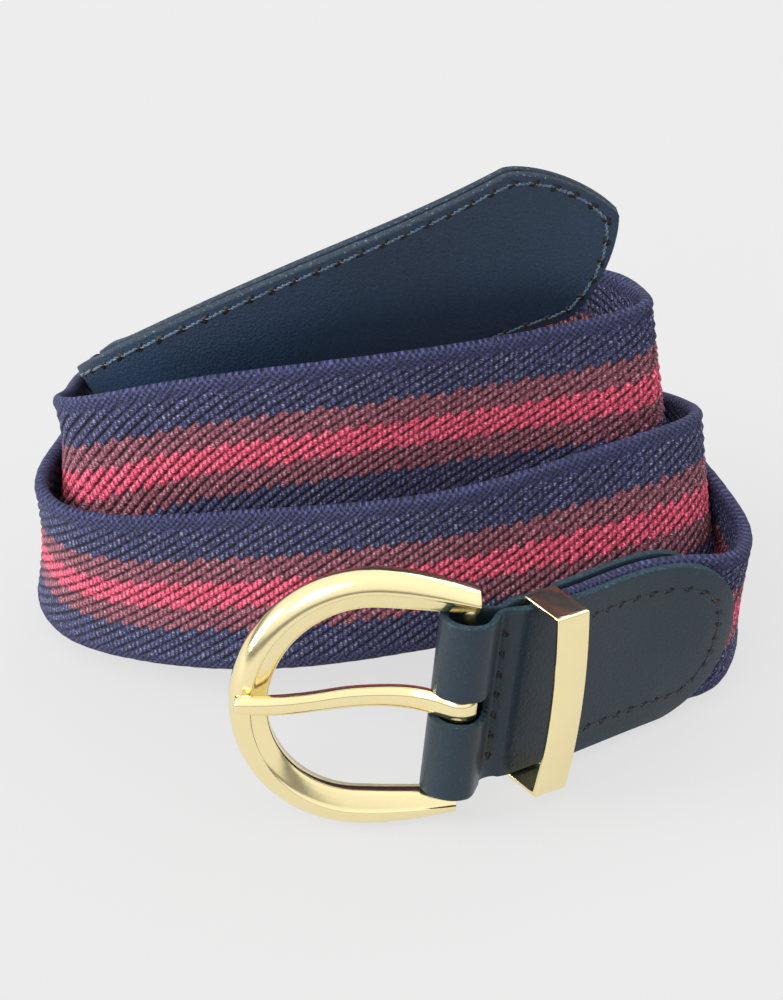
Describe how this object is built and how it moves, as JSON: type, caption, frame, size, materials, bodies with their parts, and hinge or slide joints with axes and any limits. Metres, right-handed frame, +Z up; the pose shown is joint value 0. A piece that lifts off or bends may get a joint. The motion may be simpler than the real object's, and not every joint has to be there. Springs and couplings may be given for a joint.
{
  "type": "stretch belt",
  "caption": "Coiled stretch belt of striped elastic webbing with sewn leather ends, a gold D buckle with a prong, and a fixed metal keeper.",
  "frame": {"origin": "middle of the coiled belt's footprint, on the surface it lies on", "axes": "+Z up, +X to the right of the buckle side, +Y from the buckle towards the back of the coil"},
  "size_m": [0.1334, 0.0996, 0.102],
  "materials": {
    "elastic": "woven elastic, navy, burgundy and pink stripes",
    "leather": "smooth dark navy, semi-gloss",
    "gold": "polished pale gold plate"
  },
  "bodies": {
    "strap": {"elastic_strap": "elastic", "buckle_tab": "leather", "tip_front": "leather", "tip_back": "leather", "keeper": "gold"},
    "frame": {"buckle_frame": "gold"},
    "prong": {"prong": "gold"}
  },
  "joints": [
    {"name": "frame_swing", "type": "hinge", "parent": "strap", "child": "frame", "pos_m": [0.01273, -0.04042, 0.02403], "axis": [0.1029, 0.1668, 0.9806], "range_deg": [-6, 85]},
    {"name": "prong_swing", "type": "hinge", "parent": "frame", "child": "prong", "pos_m": [0.01273, -0.04042, 0.02403], "axis": [0.1029, 0.1668, 0.9806], "range_deg": [0, 60]}
  ]
}
